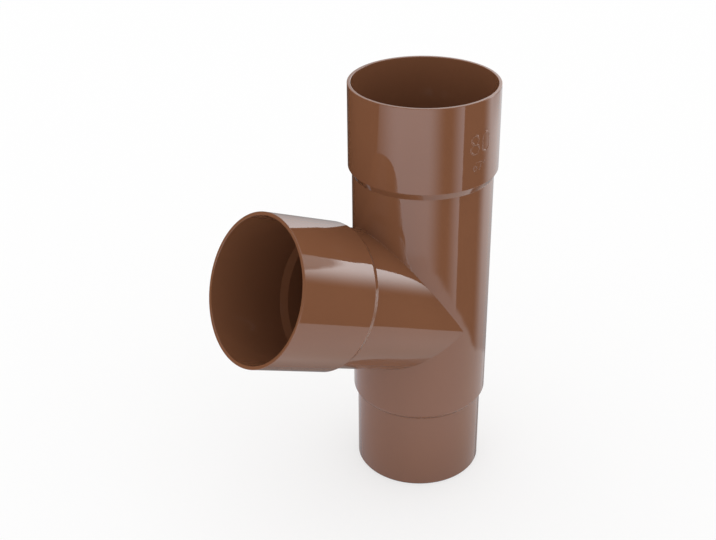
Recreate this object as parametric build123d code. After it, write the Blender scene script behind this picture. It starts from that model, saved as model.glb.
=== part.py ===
"""A 67 degree branch for an 80 mm round rainwater downpipe, moulded in one piece.

The main tube stands on its spigot with the axis along +Z, and the origin is the centre
of the spigot's end face. The branch leaves towards +X and rises. The two sockets take
the plain end of a pipe, and the spigot goes down into the bore of the pipe below.
All sizes are in millimetres and degrees.
"""
from build123d import *
from math import cos, radians, sin, tan
import os

# Driving sizes: the pipe that the branch joins
pipe_diameter = 80.0        # outside of the pipe, and of the branch's own tubes
pipe_wall = 2.0             # wall of the pipe, which sets the bore that the spigot enters
socket_clearance = 0.25     # room round a pipe in a socket, on the radius
spigot_clearance = 0.5      # room round the spigot in a pipe, on the radius

# Driving sizes: the moulding
wall = 2.0                  # moulded wall, the same all over
branch_angle = 67.0         # between the branch and the upper half of the main tube
spigot_length = 49.0        # straight part of the spigot
step_length = 3.0           # cone between the spigot and the main tube
heel_length = 27.5          # plain main tube between the step and the corner under the branch
main_neck = 26.3            # plain main tube between the crotch and its socket
branch_neck = 9.55          # plain branch tube between the crotch and its socket
shoulder_length = 4.1       # cone between a tube and its socket, also the pipe's stop
socket_depth = 48.6         # straight part of a socket, from its shoulder to its rim
crotch_radius = 0.5         # small rounding outside, in the narrow corner above the branch
flow_edge_radius = 1.0      # rounding of the edge between the two bores, inside that crotch
rim_radius = 0.4            # rounding of the sockets' rims, inside and outside
bevel = 0.7                 # bevel round the spigot's end, on the radius
bevel_length = 1.0          # how far that bevel runs up the spigot

# Sizes that follow
tube_radius = pipe_diameter / 2
bore_radius = tube_radius - wall
socket_bore_radius = tube_radius + socket_clearance
socket_radius = socket_bore_radius + wall
spigot_radius = tube_radius - pipe_wall - spigot_clearance
spigot_bore_radius = spigot_radius - wall
socket_length = shoulder_length + socket_depth

# Places along the axes
slope = tan(radians(branch_angle / 2))
crotch_reach = (tube_radius + crotch_radius) / slope
crossing_height = spigot_length + step_length + heel_length + tube_radius * slope
main_seat_height = crossing_height + crotch_reach + main_neck
branch_seat_reach = crotch_reach + branch_neck
overrun = 10.0              # how far the inner form runs out past the end faces
junction_margin = 1.5       # how far the crossing's tubes run, to the reach of its corners
STANDING = (Align.CENTER, Align.CENTER, Align.MIN)

branch_direction = (sin(radians(branch_angle)), 0, cos(radians(branch_angle)))
branch_plane = Plane(origin=(0, 0, crossing_height), x_dir=(0, 1, 0), z_dir=branch_direction)


def turned(outline):
    """Turns an outline, given as (radius, height) points, into a solid about +Z."""
    first_height = outline[0][1]
    last_height = outline[-1][1]
    corners = [(0, first_height)] + outline + [(0, last_height)]
    face = Plane.XZ * make_face(Polyline(corners, close=True))
    return revolve(face, Axis.Z)


def junction(radius, rounding):
    """The crossing of two plain tubes, with the hollow corner above the branch rounded.

    Tubes of one radius meet in flat half ellipses, two above the crossing and two below.
    The rounding starts from nothing at the sides, where the tubes only touch, and is
    widest in the crotch. The wide corner under the branch stays crisp.
    """
    reach_up = junction_margin * (radius + rounding) / slope
    reach_down = junction_margin * radius * slope
    foot = Pos(0, 0, crossing_height - reach_down)
    main = foot * Cylinder(radius, reach_down + reach_up, align=STANDING)
    joined = main + branch_plane * Cylinder(radius, reach_up, align=STANDING)
    seams = joined.edges().filter_by(GeomType.ELLIPSE)
    crotch = [seam for seam in seams if seam.center(CenterOf.MASS).Z > crossing_height]
    return fillet(crotch, rounding)


def tube_with_socket(start, seat):
    """Outer outline of a tube that runs from start to seat and ends in a socket."""
    return [
        (tube_radius, start),
        (tube_radius, seat),
        (socket_radius, seat + shoulder_length),
        (socket_radius, seat + socket_length),
    ]


def bore_with_socket(start, seat):
    """Inner outline of the same tube, which runs out past the socket's rim."""
    return [
        (bore_radius, start),
        (bore_radius, seat),
        (socket_bore_radius, seat + shoulder_length),
        (socket_bore_radius, seat + socket_length + overrun),
    ]


def outer_form():
    """The outside of the moulding, as one solid."""
    spigot = [
        (spigot_radius - bevel, 0),
        (spigot_radius, bevel_length),
        (spigot_radius, spigot_length),
    ]
    main = turned(spigot + tube_with_socket(spigot_length + step_length, main_seat_height))
    branch = turned(tube_with_socket(0, branch_seat_reach))
    return main + branch_plane * branch + junction(tube_radius, crotch_radius)


def inner_form():
    """The room inside the moulding, as one solid that runs out past all three ends."""
    spigot = [
        (spigot_bore_radius, -overrun),
        (spigot_bore_radius, spigot_length),
    ]
    main = turned(spigot + bore_with_socket(spigot_length + step_length, main_seat_height))
    branch = turned(bore_with_socket(0, branch_seat_reach))
    return main + branch_plane * branch + junction(bore_radius, flow_edge_radius)


def moulding():
    """The whole branch: the outer form less the inner form, with its rims rounded."""
    shell = outer_form() - inner_form()
    top_rim = shell.faces().filter_by(Axis.Z).sort_by(Axis.Z)[-1]
    branch_axis = Axis(branch_plane.origin, branch_plane.z_dir)
    branch_rim = shell.faces().filter_by(branch_axis).sort_by(branch_axis)[-1]
    return fillet(top_rim.edges() + branch_rim.edges(), rim_radius)


os.makedirs("parts", exist_ok=True)
downpipe_branch = moulding()
downpipe_branch.label = "downpipe_branch"
export_step(downpipe_branch, "parts/downpipe_branch.step")

box = downpipe_branch.bounding_box()
print("downpipe_branch", len(downpipe_branch.solids()), "solid, valid", downpipe_branch.is_valid)
print("volume", round(downpipe_branch.volume), "cubic mm")
print("from", tuple(round(value, 2) for value in box.min))
print("to", tuple(round(value, 2) for value in box.max))
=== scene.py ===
# %% [markdown]
# A branch for a round rainwater downpipe, moulded from brown PVC in one piece. The packed
# model is the fixed frame: it gives the fitting's place, its box and its material slot.
# All the shapes here are worked out in millimetres and turned into metres at the end.

import math

import bpy
import numpy as np
from mathutils import Matrix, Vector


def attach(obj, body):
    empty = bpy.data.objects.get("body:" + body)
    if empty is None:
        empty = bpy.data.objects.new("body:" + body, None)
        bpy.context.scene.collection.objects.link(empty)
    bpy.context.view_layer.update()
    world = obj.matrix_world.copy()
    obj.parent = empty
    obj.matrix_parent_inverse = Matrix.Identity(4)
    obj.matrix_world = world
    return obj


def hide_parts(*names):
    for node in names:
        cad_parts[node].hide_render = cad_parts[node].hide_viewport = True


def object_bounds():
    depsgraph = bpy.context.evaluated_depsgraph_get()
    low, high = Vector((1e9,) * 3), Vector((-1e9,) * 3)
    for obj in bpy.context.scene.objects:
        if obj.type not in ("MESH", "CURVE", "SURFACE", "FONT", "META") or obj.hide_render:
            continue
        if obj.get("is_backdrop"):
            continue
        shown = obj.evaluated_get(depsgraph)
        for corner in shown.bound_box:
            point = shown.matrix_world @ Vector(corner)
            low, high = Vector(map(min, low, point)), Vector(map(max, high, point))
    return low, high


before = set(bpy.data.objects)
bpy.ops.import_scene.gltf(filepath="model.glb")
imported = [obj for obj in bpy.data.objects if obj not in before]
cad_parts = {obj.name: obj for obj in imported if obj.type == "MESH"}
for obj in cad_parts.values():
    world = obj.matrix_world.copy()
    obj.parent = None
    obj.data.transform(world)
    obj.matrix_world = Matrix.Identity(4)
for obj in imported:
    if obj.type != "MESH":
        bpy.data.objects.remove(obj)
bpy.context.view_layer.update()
print("frame:", sorted(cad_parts))

# %% [markdown]
# The fitting's sizes are written once. The pipe sets most of them: its outside is the
# tubes' outside, and the sockets take it with a little room. The places along the axes
# follow from the crossing, so the sockets always start clear of the crotch.

# %% Sizes in millimetres
MM = 0.001
TUBE = 40.0                  # outer radius of the plain tubes
WALL = 2.0
SOCKET_ROOM = 0.25           # round a pipe in a socket, on the radius
SPIGOT_ROOM = 0.5            # round the spigot in a pipe, on the radius
SPIGOT_LENGTH = 49.0
STEP = 3.0                   # height of the cone above the spigot
LOWER_NECK = 27.5            # plain tube between that cone and the corner under the branch
MAIN_NECK = 26.3             # plain tube between the crotch and the top socket
BRANCH_NECK = 9.55           # the same along the branch
SHOULDER = 4.1               # height of the cone under a socket
SOCKET_DEPTH = 48.6
BEVEL, BEVEL_LENGTH = 0.7, 1.0
BRANCH_ANGLE = math.radians(67)
CROTCH_RADIUS = 0.5          # the corner above the branch, which places the sockets

# %% Sizes that follow
BORE = TUBE - WALL
SOCKET_BORE = TUBE + SOCKET_ROOM
SOCKET = SOCKET_BORE + WALL
SPIGOT = TUBE - WALL - SPIGOT_ROOM
SPIGOT_BORE = SPIGOT - WALL
SLOPE = math.tan(BRANCH_ANGLE / 2)
CROSSING = SPIGOT_LENGTH + STEP + LOWER_NECK + TUBE * SLOPE
CROTCH_REACH = (TUBE + CROTCH_RADIUS) / SLOPE
MAIN_SEAT = CROTCH_REACH + MAIN_NECK        # from the crossing to the top socket's shoulder
BRANCH_SEAT = CROTCH_REACH + BRANCH_NECK    # the same along the branch
print("crossing at", round(CROSSING, 2))
print("top at", round(CROSSING + MAIN_SEAT + SHOULDER + SOCKET_DEPTH, 2))

# %% [markdown]
# Three arms leave the crossing: up to the top socket, down to the spigot, and out along
# the branch. Each arm has an axis, a direction that faces its neighbour, and a third
# direction across both, so that one turned shape can serve all three.

# %% The three arms
CENTRE = np.array([0.0, 0.0, CROSSING])
ACROSS = np.array([0.0, 1.0, 0.0])
UP = np.array([0.0, 0.0, 1.0])
OUT = np.array([1.0, 0.0, 0.0])
ALONG = np.array([math.sin(BRANCH_ANGLE), 0.0, math.cos(BRANCH_ANGLE)])
LIFT = np.array([-math.cos(BRANCH_ANGLE), 0.0, math.sin(BRANCH_ANGLE)])
AROUND = 288                 # steps round a tube
angles = np.linspace(0.0, 2 * np.pi, AROUND + 1)


def on_arm(axis, facing, radius, turn, height):
    """Point of a tube: centre + radius (cos t facing + sin t side) + height axis."""
    side = np.cross(axis, facing)
    ring = np.multiply.outer(np.cos(turn), facing) + np.multiply.outer(np.sin(turn), side)
    return CENTRE + ring * radius[..., None] + np.multiply.outer(height, axis)


print("arms point up, down and", ALONG.round(3))

# %% [markdown]
# A moulded edge is never knife sharp. The profile of each arm goes up the outside, over
# the rim and down the inside, and every corner is an arc that touches both its legs.
# The arc's own normals are kept, so that light slides over the edge as on the real part.

# %% Profiles with eased corners
def eased_profile(corners, radii, steps=5):
    """Arcs in the corners of a path of (radius, height) points.

    An arc of radius r in a corner that turns by a starts r tan(a/2) before the corner.
    Its centre lies r to the inner side, and its points are centre + r * normal.
    Returns the points and their normals, which point to the right of the path.
    """
    corners = np.asarray(corners, float)
    radii = np.asarray(radii, float)[:, None]
    legs = np.diff(corners, axis=0)
    legs /= np.linalg.norm(legs, axis=1, keepdims=True)
    before, after = legs[:-1], legs[1:]
    bend = np.arctan2(
        before[:, 0] * after[:, 1] - before[:, 1] * after[:, 0],
        (before * after).sum(axis=1),
    )[:, None]
    left = np.stack([-before[:, 1], before[:, 0]], axis=1)
    start = corners[1:-1] - before * radii * np.tan(np.abs(bend) / 2)
    centre = start + left * radii * np.sign(bend)
    turn = np.linspace(0.0, 1.0, steps + 1) * bend
    heading = np.stack([
        before[:, :1] * np.cos(turn) - before[:, 1:] * np.sin(turn),
        before[:, :1] * np.sin(turn) + before[:, 1:] * np.cos(turn),
    ], axis=-1)
    normals = np.stack([heading[..., 1], -heading[..., 0]], axis=-1)
    points = centre[:, None] + normals * (radii * np.sign(bend))[:, None]
    return points.reshape(-1, 2), normals.reshape(-1, 2)


def turned(axis, facing, points, normals):
    """Surface of revolution: each profile point is carried round the arm's axis."""
    turn, radius = np.meshgrid(angles, points[:, 0], indexing="ij")
    height = np.broadcast_to(points[:, 1], radius.shape)
    place = on_arm(axis, facing, radius, turn, height)
    foot = on_arm(axis, facing, radius * 0, turn, height)
    away = (place - foot) / radius[..., None]
    normal = away * normals[:, 0, None] + axis * normals[:, 1, None]
    return place, normal


# %% [markdown]
# Two tubes of one radius R, whose axes meet at an angle a, would cross in a flat ellipse.
# A ball of radius r that rolls along the corner between them touches each tube where
# its centre, at R + r from both axes, is straight out from that tube's axis. That gives
# the rounding's edges in closed form, and the arc between them is the rounding itself.

# %% Tubes that stop at the corner, and the rounding between them
def corner_height(radius, rounding, opening, turn):
    """Where the rounding starts on a tube: (R + r) cos t / tan(a / 2), none behind."""
    return (radius + rounding) * np.clip(np.cos(turn), 0, None) / math.tan(opening / 2)


def plain_tube(axis, facing, radius, start, end, outward, rows=12):
    """Tube wall from the curve start(t) to the height end, in even steps."""
    share, turn = np.meshgrid(np.linspace(0, 1, rows + 1), angles)
    height = start[:, None] + (end - start[:, None]) * share
    place = on_arm(axis, facing, np.full(turn.shape, radius), turn, height)
    foot = on_arm(axis, facing, np.zeros(turn.shape), turn, height)
    return place, (place - foot) / radius * outward


def corner_rounding(axis, facing, other_axis, other_facing, radius, rounding, outward,
                    steps=14):
    """Rounding between two tubes: centre(t) - r n, where n swings from tube to tube.

    centre(t) = (R + r) (cos t facing + sin t across + cos t / tan(a / 2) axis).
    n runs along the great circle between the two tubes' own normals at t.
    """
    opening = math.acos(float(axis @ other_axis))
    turn = np.linspace(-np.pi / 2, np.pi / 2, AROUND // 2 + 1)
    reach = radius + rounding
    rise = np.multiply.outer(np.cos(turn) / math.tan(opening / 2), axis)
    sideways = np.multiply.outer(np.sin(turn), ACROSS)
    first = np.multiply.outer(np.cos(turn), facing) + sideways
    second = np.multiply.outer(np.cos(turn), other_facing) + sideways
    swing = np.arccos(np.clip((first * second).sum(axis=1), -1, 1))[:, None]
    share = np.linspace(0, 1, steps + 1)
    safe = np.maximum(np.sin(swing), 1e-9)
    near = np.where(swing > 1e-6, np.sin(swing * (1 - share)) / safe, 1 - share)
    far = np.where(swing > 1e-6, np.sin(swing * share) / safe, share)
    normal = first[:, None] * near[..., None] + second[:, None] * far[..., None]
    centre = CENTRE + reach * (first + rise)
    return centre[:, None] - rounding * normal, normal * outward


# %% [markdown]
# The patches are welded into one closed skin. Points that fall together become one, the
# slivers that collapse at the sides of the crossing are dropped, and each patch keeps its
# own exact normals, so flat runs stay flat and creases stay creases.

# %% Cells of a patch
def quads_of(shape):
    """Corner numbers of every cell of a grid of points."""
    number = np.arange(shape[0] * shape[1]).reshape(shape)
    cells = [number[:-1, :-1], number[1:, :-1], number[1:, 1:], number[:-1, 1:]]
    return np.stack(cells, axis=-1).reshape(-1, 4)


def facing_out(places, normals, quads):
    """Turns all the cells round if they mostly face against the given normals."""
    corner = places[quads]
    own = np.cross(corner[:, 2] - corner[:, 0], corner[:, 3] - corner[:, 1])
    agrees = (own * normals[quads].mean(axis=1)).sum() > 0
    return quads if agrees else quads[:, ::-1]


# %% Weld the patches
WELD_WITHIN = 0.0001         # millimetres


def joined(patches):
    """Points in metres, each face's corners with their normals, and corners per face.

    Places are rounded to the welding distance, and equal ones share a point. A corner
    on the same point as the one before it is dropped, and so is a face with under three.
    """
    places, normals, quads, offset = [], [], [], 0
    for place, normal in patches:
        flat_place = place.reshape(-1, 3)
        flat_normal = np.broadcast_to(normal, place.shape).reshape(-1, 3)
        cells = facing_out(flat_place, flat_normal, quads_of(place.shape[:2]))
        places.append(flat_place)
        normals.append(flat_normal)
        quads.append(cells + offset)
        offset += len(flat_place)
    places, normals, quads = (np.concatenate(part) for part in (places, normals, quads))
    keys = np.round(places / WELD_WITHIN).astype(np.int64)
    _, first, welded = np.unique(keys, axis=0, return_index=True, return_inverse=True)
    corners = welded.reshape(-1)[quads]
    differs = corners != np.roll(corners, 1, axis=1)
    kept = differs.sum(axis=1) >= 3
    quads, corners, differs = quads[kept], corners[kept], differs[kept]
    return places[first] * MM, corners[differs], normals[quads[differs]], differs.sum(axis=1)


# %% Make a mesh of them
def weld(name, patches):
    """One mesh object from (places, normals) grids, with their exact normals."""
    points, loop_points, loop_normals, counts = joined(patches)
    starts = np.concatenate([[0], np.cumsum(counts)[:-1]])
    mesh = bpy.data.meshes.new(name)
    mesh.vertices.add(len(points))
    mesh.vertices.foreach_set("co", points.ravel())
    mesh.loops.add(len(loop_points))
    mesh.loops.foreach_set("vertex_index", loop_points.astype(np.int32))
    mesh.polygons.add(len(counts))
    mesh.polygons.foreach_set("loop_start", starts.astype(np.int32))
    mesh.update(calc_edges=True)
    mesh.validate()
    mesh.polygons.foreach_set("use_smooth", np.ones(len(mesh.polygons), bool))
    if len(mesh.loops) == len(loop_normals):
        mesh.normals_split_custom_set(loop_normals)
    piece = bpy.data.objects.new(name, mesh)
    bpy.context.scene.collection.objects.link(piece)
    print(name, len(mesh.vertices), "points,", len(mesh.polygons), "faces")
    return piece


# %% [markdown]
# The socket arms share one profile: a shoulder, the straight socket, the flat rim, and
# inside it the stop for the pipe. The spigot arm has the step, the long straight spigot
# and the small bevel at its end. All of them start and end on the plain tube.

# %% Profiles of the arms
EASE, FINE_EASE = 0.3, 0.2   # radii of the eased edges
RIM_EASE = 0.4
STEP_RADIUS = 2.5            # the soft bend above the spigot's cone


def socket_profile(seat):
    """Outside up over the shoulder to the rim, and back down the bore to the stop."""
    mouth = seat + SHOULDER + SOCKET_DEPTH
    corners = [
        (TUBE, 0), (TUBE, seat), (SOCKET, seat + SHOULDER), (SOCKET, mouth),
        (SOCKET_BORE, mouth), (SOCKET_BORE, seat + SHOULDER), (BORE, seat), (BORE, 0),
    ]
    return eased_profile(corners, radii=[EASE, EASE, RIM_EASE, RIM_EASE, EASE, EASE])


def spigot_profile():
    """Down the outside past the step to the bevelled end, and back up the bore."""
    shoulder = CROSSING - SPIGOT_LENGTH
    corners = [
        (TUBE, 0), (TUBE, shoulder - STEP), (SPIGOT, shoulder),
        (SPIGOT, CROSSING - BEVEL_LENGTH), (SPIGOT - BEVEL, CROSSING), (SPIGOT_BORE, CROSSING),
        (SPIGOT_BORE, shoulder), (BORE, shoulder - STEP), (BORE, 0),
    ]
    return eased_profile(corners, radii=[STEP_RADIUS, FINE_EASE, EASE, FINE_EASE, FINE_EASE,
                                         EASE, EASE])


print("socket profile:", len(socket_profile(MAIN_SEAT)[0]), "points")
print("spigot profile:", len(spigot_profile()[0]), "points")

# %% [markdown]
# The corner above the branch is nearly sharp on the real part, and what the two walls
# mirror meets there in a crisp line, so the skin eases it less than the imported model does.
# The corner under the branch is crisp too, and only the edge between the bores is softer.

# %% The skin of the whole fitting
CROTCH_EASE = 0.2            # above the branch, outside
HEEL_EASE = 0.25             # under the branch, outside and inside
FLOW_EASE = 1.0              # edge between the two bores above the branch
WIDE = math.pi - BRANCH_ANGLE


def arm_patches(axis, facing, profile, outer_start, inner_start):
    """The arm's profile, and the plain tube walls between it and the crossing."""
    points, normals = profile
    outer = plain_tube(axis, facing, TUBE, outer_start, points[0, 1], 1)
    inner = plain_tube(axis, facing, BORE, inner_start, points[-1, 1], -1)
    return [outer, turned(axis, facing, points, normals), inner]


def starts_at_corner(radius, rounding, opening):
    """Where the main tube's wall starts, above the branch or below it."""
    return corner_height(radius, rounding, opening, angles)


def branch_start(radius, crotch_rounding, heel_rounding):
    """The branch meets the crotch on its upper side and the wide corner below."""
    upper = corner_height(radius, crotch_rounding, BRANCH_ANGLE, angles)
    lower = corner_height(radius, heel_rounding, WIDE, angles + math.pi)
    return upper + lower


fitting_patches = (
    arm_patches(UP, OUT, socket_profile(MAIN_SEAT),
                starts_at_corner(TUBE, CROTCH_EASE, BRANCH_ANGLE),
                starts_at_corner(BORE, FLOW_EASE, BRANCH_ANGLE))
    + arm_patches(-UP, OUT, spigot_profile(),
                  starts_at_corner(TUBE, HEEL_EASE, WIDE),
                  starts_at_corner(BORE, HEEL_EASE, WIDE))
    + arm_patches(ALONG, LIFT, socket_profile(BRANCH_SEAT),
                  branch_start(TUBE, CROTCH_EASE, HEEL_EASE),
                  branch_start(BORE, FLOW_EASE, HEEL_EASE))
    + [
        corner_rounding(UP, OUT, ALONG, LIFT, TUBE, CROTCH_EASE, 1),
        corner_rounding(-UP, OUT, ALONG, -LIFT, TUBE, HEEL_EASE, 1, steps=4),
        corner_rounding(UP, OUT, ALONG, LIFT, BORE, FLOW_EASE, -1, steps=6),
        corner_rounding(-UP, OUT, ALONG, -LIFT, BORE, HEEL_EASE, -1, steps=4),
    ]
)
fitting = weld("moulded_branch", fitting_patches)
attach(fitting, "root")
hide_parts("downpipe_branch")

# %% [markdown]
# Plain raised numbers on the top socket give the pipe's size and the branch's angle. Every
# stroke of a number is a row of short straight lines. The numbers' skin rises out of the
# socket's wall where a line is near, and stays inside the wall everywhere else.

# %% Strokes of the numbers
def arc(across, up, wide, tall, first, last, steps=24):
    """Points of an arc: centre + (wide cos t, tall sin t), from first to last degrees."""
    turn = np.radians(np.linspace(first, last, steps + 1))
    return np.stack([across + wide * np.cos(turn), up + tall * np.sin(turn)], axis=1)


# Each mark is one unit tall, and its middle is at zero.
MARKS = {
    "0": [np.concatenate([arc(0, 0.23, 0.27, 0.27, 0, 180), arc(0, -0.23, 0.27, 0.27, 180, 360),
                          [[0.27, 0.23]]])],
    "6": [arc(0, -0.23, 0.27, 0.27, 0, 360), arc(0.20, -0.23, 0.47, 0.73, 180, 92)],
    "7": [np.array([[-0.27, 0.50], [0.27, 0.50], [-0.09, -0.50]])],
    "8": [arc(0, 0.26, 0.23, 0.24, 0, 360), arc(0, -0.24, 0.28, 0.26, 0, 360)],
    "\u00b0": [arc(-0.12, 0.38, 0.12, 0.12, 0, 360)],
}
print("marks drawn:", len(MARKS))


# %% Raised numbers
MARK_SPACING = 0.80          # from mark to mark, in heights of a mark
CELLS_PER_STROKE = 3.2       # cells of the grid from a stroke's middle to its edge
SLOPED_PART = 0.7            # how much of that way is sloped


def distance_to_lines(points, lines):
    """Distance to the nearest line: the foot on each one is kept between its ends."""
    start = np.concatenate([line[:-1] for line in lines])
    run = np.concatenate([line[1:] for line in lines]) - start
    offset = points[..., None, :] - start
    share = np.clip((offset * run).sum(axis=-1) / (run ** 2).sum(axis=-1), 0, 1)
    return np.linalg.norm(offset - share[..., None] * run, axis=-1).min(axis=-1)


def row_of_strokes(text, size):
    """Every stroke of the text, in millimetres, with the row's middle at zero."""
    shifts = (np.arange(len(text)) - (len(text) - 1) / 2) * MARK_SPACING * size
    return [stroke * size + (shift, 0) for mark, shift in zip(text, shifts)
            for stroke in MARKS[mark]]


def raised(text, size, middle, level, stroke, proud=0.2, root=0.6, buried=0.05):
    """Closed skin of a row of numbers, centred at an angle and a height on the socket.

    Rise = (proud + buried) s s (3 - 2 s) - buried, where s goes from 0 at a stroke's
    edge, this far from its line, to 1 near the line. The back is an even sheet at a
    depth of root in the wall.
    """
    lines = row_of_strokes(text, size)
    reach = np.concatenate(lines)
    low, high = reach.min(axis=0) - 2 * stroke, reach.max(axis=0) + 2 * stroke
    grid = stroke / CELLS_PER_STROKE
    across, up = np.meshgrid(np.arange(low[0], high[0], grid),
                             np.arange(low[1], high[1], grid), indexing="ij")
    near = distance_to_lines(np.stack([across, up], axis=-1), lines)
    share = np.clip((stroke - near) / (SLOPED_PART * stroke), 0, 1)
    rise = (proud + buried) * share ** 2 * (3 - 2 * share) - buried
    turn = math.radians(middle) + across / SOCKET
    height = level - CROSSING + up
    front = on_arm(UP, OUT, SOCKET + rise, turn, height)
    back = on_arm(UP, OUT, np.full(turn.shape, SOCKET - root), turn, height)
    away = on_arm(UP, OUT, np.ones(turn.shape), turn, height * 0) - CENTRE
    onward = np.cross(UP, away)
    slope_across, slope_up = np.gradient(rise, grid)
    normal = away - slope_across[..., None] * onward - slope_up[..., None] * UP
    normal /= np.linalg.norm(normal, axis=-1, keepdims=True)
    both = np.stack([front, back], axis=2)
    return [(front, normal), (back, -away),
            (both[0], -onward[0][:, None]), (both[-1], onward[-1][:, None]),
            (both[:, 0], -UP), (both[:, -1], UP)]


size_mark = raised("80", size=10.5, middle=97, level=222.5, stroke=0.62)
angle_mark = raised("67\u00b0", size=4.4, middle=97, level=209.5, stroke=0.36)
numbers = weld("raised_numbers", size_mark + angle_mark)
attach(numbers, "root")

# %% [markdown]
# A finish is a chain of shader nodes. They are made and linked by small helpers, so that
# each finish reads as one line per step. A helper takes numbers or the outputs of other
# nodes, and gives back its node's output.

# %% Node helpers: sums and masks
def plug(tree, value, socket):
    """Links a socket, or writes a number or a colour on an unlinked one."""
    if isinstance(value, bpy.types.NodeSocket):
        tree.links.new(value, socket)
    else:
        socket.default_value = value


def calc(tree, operation, *values):
    """One Math node, and its answer."""
    node = tree.nodes.new("ShaderNodeMath")
    node.operation = operation
    for value, socket in zip(values, node.inputs):
        plug(tree, value, socket)
    return node.outputs[0]


def times(tree, product, *others):
    """The product of all the values."""
    for value in others:
        product = calc(tree, "MULTIPLY", product, value)
    return product


def left_over(tree, share):
    """What is missing from the share to one."""
    return calc(tree, "SUBTRACT", 1.0, share)


def fade(tree, value, empty, full, low=0.0, high=1.0):
    """A soft step that is low at empty and high at full."""
    node = tree.nodes.new("ShaderNodeMapRange")
    node.interpolation_type = "SMOOTHSTEP"
    for name, number in (("Value", value), ("From Min", empty), ("From Max", full),
                         ("To Min", low), ("To Max", high)):
        plug(tree, number, node.inputs[name])
    return node.outputs["Result"]


def within(tree, value, empty, full, still_full, empty_again):
    """A soft band: nothing up to empty, all from full to still full, nothing after."""
    risen = fade(tree, value, empty, full)
    return times(tree, risen, fade(tree, value, empty_again, still_full))


# %% Node helpers: mixes and noise
def blend(tree, share, first, second):
    """Mixes two colours."""
    node = tree.nodes.new("ShaderNodeMix")
    node.data_type = "RGBA"
    plug(tree, share, node.inputs[0])
    plug(tree, first, node.inputs[6])
    plug(tree, second, node.inputs[7])
    return node.outputs[2]


def mixed_shaders(tree, share, first, second):
    """Mixes two shaders."""
    node = tree.nodes.new("ShaderNodeMixShader")
    for value, socket in zip((share, first, second), node.inputs):
        plug(tree, value, socket)
    return node.outputs[0]


def noise(tree, place, per_metre, detail, stretch=None):
    """Cloudy noise with this many blobs to the metre."""
    if stretch:
        mapping = tree.nodes.new("ShaderNodeMapping")
        mapping.inputs["Scale"].default_value = stretch
        plug(tree, place, mapping.inputs["Vector"])
        place = mapping.outputs["Vector"]
    node = tree.nodes.new("ShaderNodeTexNoise")
    plug(tree, place, node.inputs["Vector"])
    node.inputs["Scale"].default_value = per_metre
    node.inputs["Detail"].default_value = detail
    return node.outputs["Fac"]


# %% [markdown]
# One plastic makes the whole fitting, so one material finishes it. The colour goes right
# through the plastic, and its skin copies the polished mould: it mirrors light clearly, a
# little unevenly where the plastic flowed and shrank. Noise at three sizes does that: a
# slow one for the colour and the swell, a finer one for the sheen, a tiny one for the skin.

# %% Brown plastic
DEEP_BROWN = (0.211, 0.0880, 0.0440, 1)
WARM_BROWN = (0.223, 0.0930, 0.0465, 1)
CLOUDS = (0.3, 0.7)          # the part of the noise's range that counts
ROUGHNESS = (0.030, 0.045)
SWELL, PEEL = 0.5, 0.02      # heights of the swell and of the fine skin
RELIEF = 0.00012             # metres for a height of one


def brown_plastic():
    """Base colour drifts along the flow, roughness and height drift with fine noise."""
    material = bpy.data.materials.new("brown_plastic")
    material.use_nodes = True
    tree = material.node_tree
    shader = tree.nodes["Principled BSDF"]
    place = tree.nodes.new("ShaderNodeTexCoord").outputs["Object"]

    flow = noise(tree, place, per_metre=24, detail=3.0, stretch=(1, 1, 0.5))
    colour = blend(tree, fade(tree, flow, *CLOUDS), DEEP_BROWN, WARM_BROWN)
    plug(tree, colour, shader.inputs["Base Color"])

    sheen = noise(tree, place, per_metre=60, detail=4.0)
    plug(tree, fade(tree, sheen, *CLOUDS, *ROUGHNESS), shader.inputs["Roughness"])
    shader.inputs["IOR"].default_value = 1.5

    swell = times(tree, noise(tree, place, per_metre=45, detail=1.0), SWELL)
    peel = times(tree, noise(tree, place, per_metre=700, detail=2.0), PEEL)
    bump = tree.nodes.new("ShaderNodeBump")
    bump.inputs["Strength"].default_value = 1.0
    bump.inputs["Distance"].default_value = RELIEF
    plug(tree, calc(tree, "ADD", swell, peel), bump.inputs["Height"])
    tree.links.new(bump.outputs["Normal"], shader.inputs["Normal"])
    return material


plastic = brown_plastic()
fitting.data.materials.append(plastic)
numbers.data.materials.append(plastic)
print("material:", plastic.name)

# %% [markdown]
# The floor is one pale sheet under the spigot's end. It is lit as any surface is, so it
# keeps the fitting's soft shadow. A smooth plastic shows its surroundings, and a studio's
# surroundings are dark cloth with a few light panels, so rays mirrored by the fitting
# pass through the floor and meet those panels. A shade painted round the foot dims them,
# more so inside the bore, and in a patch on the left they are stopped. For the light that
# the sheet throws back up, it is painted darker round the foot: painted shade on the
# fitting's low parts.

# %% The floor's finish
BLACK, WHITE = (0, 0, 0, 1), (1, 1, 1, 1)
PALE = (0.99, 0.99, 0.99, 1)
# A fade is written as two distances in metres and the shares of light at them.
# Painted shade on what the fitting mirrors, round the foot and deeper in the bore.
FOOT_SHADE = (0.03, 0.12, 0.70, 1.0)      # mirrored light, round the foot
BORE_SHADE = (0.0355, 0.0375, 0.2, 1.0)   # mirrored light, inside the bore
# Painted shade on the light that the sheet throws up round the foot.
FOOT_DIM = (0.05, 0.13, 0.70, 0.91)       # light thrown up, round the foot
# Mirrored light is stopped in a patch on the left, past these Y and X bounds.
LEFT_PATCH_SIDE, LEFT_PATCH_BACK = (-0.170, -0.195), (-0.09, -0.05)    # Y and X, in metres
SHEET_GLOW = 0.6                          # plain white in what the camera sees


def mirrored_shade(tree, distance, sides):
    """Painted shade on mirrored light: less passes near the foot, little in the bore, none in
    the left patch.
    """
    round_foot = fade(tree, distance, *FOOT_SHADE)
    in_bore = fade(tree, distance, *BORE_SHADE)
    left_patch = times(tree, fade(tree, sides[1], *LEFT_PATCH_SIDE), fade(tree, sides[0], *LEFT_PATCH_BACK))
    return times(tree, round_foot, in_bore, left_over(tree, left_patch))


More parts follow.
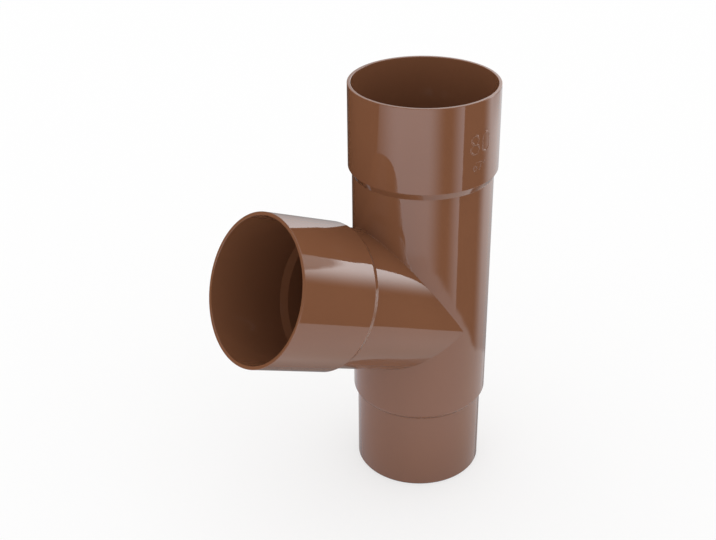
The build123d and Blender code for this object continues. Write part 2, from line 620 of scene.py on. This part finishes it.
def floor_finish():
    """Lit sheet for camera rays, and for diffuse rays with painted shade round the foot;
    see-through for mirrored ones.
    """
    material = bpy.data.materials.new("pale_floor")
    material.use_nodes = True
    tree = material.node_tree
    tree.nodes.clear()
    place = tree.nodes.new("ShaderNodeTexCoord").outputs["Object"]
    length = tree.nodes.new("ShaderNodeVectorMath")
    length.operation = "LENGTH"
    tree.links.new(place, length.inputs[0])
    distance = length.outputs["Value"]
    sides = tree.nodes.new("ShaderNodeSeparateXYZ")
    tree.links.new(place, sides.inputs[0])
    path = tree.nodes.new("ShaderNodeLightPath").outputs

    see_through = tree.nodes.new("ShaderNodeBsdfTransparent")
    shade = mirrored_shade(tree, distance, sides.outputs)
    plug(tree, blend(tree, shade, BLACK, WHITE), see_through.inputs["Color"])
    sheet = tree.nodes.new("ShaderNodeBsdfDiffuse")
    # Painted shade: for diffuse rays the sheet is darker round the foot, so less light is
    # thrown up onto the fitting's low parts.
    thrown = fade(tree, distance, *FOOT_DIM)
    lost = times(tree, path["Is Diffuse Ray"], left_over(tree, thrown))
    plug(tree, blend(tree, lost, PALE, BLACK), sheet.inputs["Color"])
    white = tree.nodes.new("ShaderNodeEmission")
    glow = times(tree, path["Is Camera Ray"], SHEET_GLOW)
    seen = mixed_shaders(tree, glow, sheet.outputs[0], white.outputs[0])
    either = mixed_shaders(tree, path["Is Glossy Ray"], seen, see_through.outputs[0])
    surface = tree.nodes.new("ShaderNodeOutputMaterial")
    tree.links.new(either, surface.inputs["Surface"])
    return material


# %% Floor
HALF_SIDE, BELOW = 4.0, 0.0002   # metres


def pale_floor():
    """One square sheet, just under the spigot's end."""
    mesh = bpy.data.meshes.new("pale_floor")
    corners = [(-HALF_SIDE, -HALF_SIDE, -BELOW), (HALF_SIDE, -HALF_SIDE, -BELOW),
               (HALF_SIDE, HALF_SIDE, -BELOW), (-HALF_SIDE, HALF_SIDE, -BELOW)]
    mesh.from_pydata(corners, [], [(0, 1, 2, 3)])
    mesh.materials.append(floor_finish())
    floor = bpy.data.objects.new("pale_floor", mesh)
    bpy.context.scene.collection.objects.link(floor)
    floor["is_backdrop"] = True
    return floor


print("floor:", pale_floor().name)

# %% [markdown]
# The studio is drawn on the world's sphere, by bearing and height in degrees: a bearing
# of 0 is +X and 90 is +Y. A world made of soft steps was chosen over lamps, because the
# mirrored edges can then be placed to a degree. A wide box stands in front of the fitting
# and a narrow strip to its right. Each has four bearings: where it begins, where it is
# full, where it is full still, and where it has ended.

# %% Compass and front panels
SEAM = 258.0                             # the compass runs from SEAM - 360 to SEAM
FRONT_BOX = (-34, 15, 56, 86)
SIDE_STRIP = (91, 114, 112.4, 113.6)
PANEL_HEIGHT = (-50, -15, -2, 18)
PANEL_STRENGTH = 2.35


def directions(tree):
    """Compass and height in degrees of the direction from which light comes."""
    parts = tree.nodes.new("ShaderNodeSeparateXYZ")
    tree.links.new(tree.nodes.new("ShaderNodeTexCoord").outputs["Generated"], parts.inputs[0])
    compass = calc(tree, "DEGREES", calc(tree, "ARCTAN2", parts.outputs[1], parts.outputs[0]))
    compass = calc(tree, "WRAP", compass, SEAM, SEAM - 360)
    return compass, calc(tree, "DEGREES", calc(tree, "ARCSINE", parts.outputs[2]))


def front_panels(tree, compass, height):
    """Strength of the box and the strip."""
    box, strip = within(tree, compass, *FRONT_BOX), within(tree, compass, *SIDE_STRIP)
    rise = times(tree, within(tree, height, *PANEL_HEIGHT), PANEL_STRENGTH)
    return times(tree, calc(tree, "ADD", box, strip), rise)


# %% [markdown]
# The tall window stands behind. Its near edge leans, its far end trails off, and it grows
# brighter with height, because the photograph's highlights do so along the branch. A head
# rail shades its top. Where no highlight of the photograph comes from, it is kept calm.

# %% Window
NEAR_EDGE = (142.5, 167.5)
NEAR_LEAN, TAIL_LEAN = 0.27, -0.3        # degrees sideways for a degree up
FAR_EDGE, TAIL = (257, 169), (254, 243)
CLIMB = (-48, 32, 0.1, 6.6)              # two heights, and the strengths there
RAIL = (-24.8, -25.5, 0.25, 1.0)
RAIL_LEAN = -0.3                         # degrees up for a degree sideways
CALM = (168, 178, 196, 208)
CALM_HEIGHT = (-22.5, -18.0)
CALM_DEPTH = 0.8


def tall_window(tree, compass, height):
    """Strength of the window: its edges, times its climb, its rail and its calm part."""
    leaning = calc(tree, "MULTIPLY_ADD", height, NEAR_LEAN, compass)
    trailing = calc(tree, "MULTIPLY_ADD", height, TAIL_LEAN, compass)
    edges = times(tree, fade(tree, compass, *FAR_EDGE), fade(tree, trailing, *TAIL),
                  fade(tree, leaning, *NEAR_EDGE))
    climb = fade(tree, height, *CLIMB)
    over = calc(tree, "MULTIPLY_ADD", compass, RAIL_LEAN, height)
    rail = fade(tree, over, *RAIL)
    calm = times(tree, within(tree, compass, *CALM), fade(tree, height, *CALM_HEIGHT))
    return times(tree, edges, climb, rail, left_over(tree, times(tree, calm, CALM_DEPTH)))


# %% [markdown]
# The white table lies below. It is brightest near its edge and on the side of the camera.
# Deep down it is lit in front of the fitting and dim behind it, and a stand hides a
# slanting strip of it. The table's edge sinks a little from the front to the back.

# %% Table
BRIGHT_SIDE = 85.0                       # bearing
NEAR_PART = (-102, -45, 175, 258)        # bearings of what is lit deep down
DEEP = (-35, -42)                        # heights where the near part takes over
NEAR_DIM, NEAR_LIT = 0.10, 0.80
FAR_LIGHT, FAR_SWING = 0.75, 0.18
TABLE_FALL = (-86, -36, 1.08, 1.39)      # two heights, and the strengths there
STAND = (178.5, 182, 214, 232)           # bearings
STAND_DEPTH = (200, 186, 0.5, 0.9)       # two bearings, and how much it hides there
STAND_SLANT, STAND_OFFSET = -0.6, 160.5  # its middle is at height = 0.6 compass - 160.5
STAND_WIDTH = (5, 2.5)                   # degrees off that middle
EDGE_SLOPE, EDGE_LEVEL = -0.04, -25.88   # height of the table's edge by compass
EDGE_LOWEST, EDGE_HIGHEST = -32.4, -28.0
EDGE_SOFT = 0.15


def stand_shade(tree, compass, height):
    """A slanting strip that is darkest where it begins."""
    level = calc(tree, "ADD", height, STAND_OFFSET)
    slant = calc(tree, "ABSOLUTE", calc(tree, "MULTIPLY_ADD", compass, STAND_SLANT, level))
    return times(tree, fade(tree, slant, *STAND_WIDTH), within(tree, compass, *STAND),
                 fade(tree, compass, *STAND_DEPTH))


def white_table(tree, compass, height):
    """Strength of the table: (near part + far part), times its fall, less the stand."""
    turn = calc(tree, "RADIANS", calc(tree, "SUBTRACT", compass, BRIGHT_SIDE))
    side = calc(tree, "COSINE", turn)
    deep = fade(tree, height, *DEEP)
    around = within(tree, compass, *NEAR_PART)
    near = times(tree, calc(tree, "MULTIPLY_ADD", around, NEAR_LIT, NEAR_DIM), deep)
    far = times(tree, calc(tree, "MULTIPLY_ADD", side, FAR_SWING, FAR_LIGHT),
                left_over(tree, deep))
    fall = fade(tree, height, *TABLE_FALL)
    shown = left_over(tree, stand_shade(tree, compass, height))
    return times(tree, fall, calc(tree, "ADD", near, far), shown)


def below_edge(tree, compass, height):
    """One below the table's edge, none above it."""
    edge = calc(tree, "MULTIPLY_ADD", compass, EDGE_SLOPE, EDGE_LEVEL)
    edge = calc(tree, "MINIMUM", calc(tree, "MAXIMUM", edge, EDGE_LOWEST), EDGE_HIGHEST)
    return fade(tree, calc(tree, "SUBTRACT", height, edge), EDGE_SOFT, -EDGE_SOFT)


# %% [markdown]
# Above the edge the panels, the window and a dim ceiling add up, below it lies the table.
# The light is a touch bluer in front. Only mirrored rays meet this studio. Plain white of
# strength 1 fills in for all others, so that the plastic's colour renders as it is written.

# %% Studio light
CEILING = (40, 75, 0.04, 1.4)            # two heights, and the strengths there
COOL, NEUTRAL = (0.96, 0.98, 1.08, 1), (0.96, 0.98, 1.01, 1)
COOL_ENDS = (110, 150)                   # bearings


def studio_world():
    """The world's shader: the studio for mirrored rays, plain white for the others."""
    world = bpy.data.worlds.new("studio")
    bpy.context.scene.world = world
    world.use_nodes = True
    tree = world.node_tree
    tree.nodes.clear()
    compass, height = directions(tree)
    lamps = calc(tree, "ADD", front_panels(tree, compass, height),
                 tall_window(tree, compass, height))
    ceiling = fade(tree, height, *CEILING)
    below = below_edge(tree, compass, height)
    upper = times(tree, calc(tree, "ADD", lamps, ceiling), left_over(tree, below))
    lower = times(tree, white_table(tree, compass, height), below)

    mirrored = tree.nodes.new("ShaderNodeBackground")
    tint = blend(tree, fade(tree, compass, *COOL_ENDS), COOL, NEUTRAL)
    plug(tree, tint, mirrored.inputs["Color"])
    plug(tree, calc(tree, "ADD", upper, lower), mirrored.inputs["Strength"])
    plain = tree.nodes.new("ShaderNodeBackground")
    plain.inputs["Color"].default_value = WHITE
    plain.inputs["Strength"].default_value = 1.0
    glossy = tree.nodes.new("ShaderNodeLightPath").outputs["Is Glossy Ray"]
    either = mixed_shaders(tree, glossy, plain.outputs[0], mirrored.outputs[0])
    surface = tree.nodes.new("ShaderNodeOutputWorld")
    tree.links.new(either, surface.inputs["Surface"])
    return world


print("world:", studio_world().name)

# %% [markdown]
# The camera stands where the photograph was taken from, worked out from the ellipses of
# the two rims and the upright edges of the fitting.

# %% Camera
SENSOR_WIDTH = 36


def look(azimuth, elevation, roll, distance, aim, slide, climb, lens):
    """A camera on a sphere round the aim, slid sideways and up, from degrees and mm."""
    a, e, r = (math.radians(value) for value in (azimuth, elevation, roll))
    back = np.array([math.sin(a) * math.cos(e), -math.cos(a) * math.cos(e), math.sin(e)])
    right = np.array([math.cos(a), math.sin(a), 0.0])
    upward = np.cross(back, right)
    turned_right = right * math.cos(r) + upward * math.sin(r)
    turned_up = upward * math.cos(r) - right * math.sin(r)
    place = (np.asarray(aim) + back * distance - turned_right * slide - turned_up * climb) * MM
    camera = bpy.data.objects.new("camera", bpy.data.cameras.new("camera"))
    bpy.context.scene.collection.objects.link(camera)
    camera.data.lens = lens
    camera.data.sensor_width = SENSOR_WIDTH
    camera.data.clip_start, camera.data.clip_end = 0.01, 20
    rows = np.eye(4)
    rows[:3] = np.stack([turned_right, turned_up, back, place], axis=1)
    camera.matrix_world = Matrix(rows.tolist())
    bpy.context.scene.camera = camera
    return camera


camera = look(azimuth=144.17, elevation=28.728, roll=-0.534, distance=723.93,
              aim=(0, 0, 120), slide=37.10, climb=-8.0, lens=61.45)
bpy.context.scene.view_settings.view_transform = "Standard"
print("camera at", [round(v, 3) for v in camera.matrix_world.translation])

# %% Size of the scene
scene_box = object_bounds()
for name, corner in zip(("from", "to"), scene_box):
    print("box", name, [round(v, 4) for v in corner])
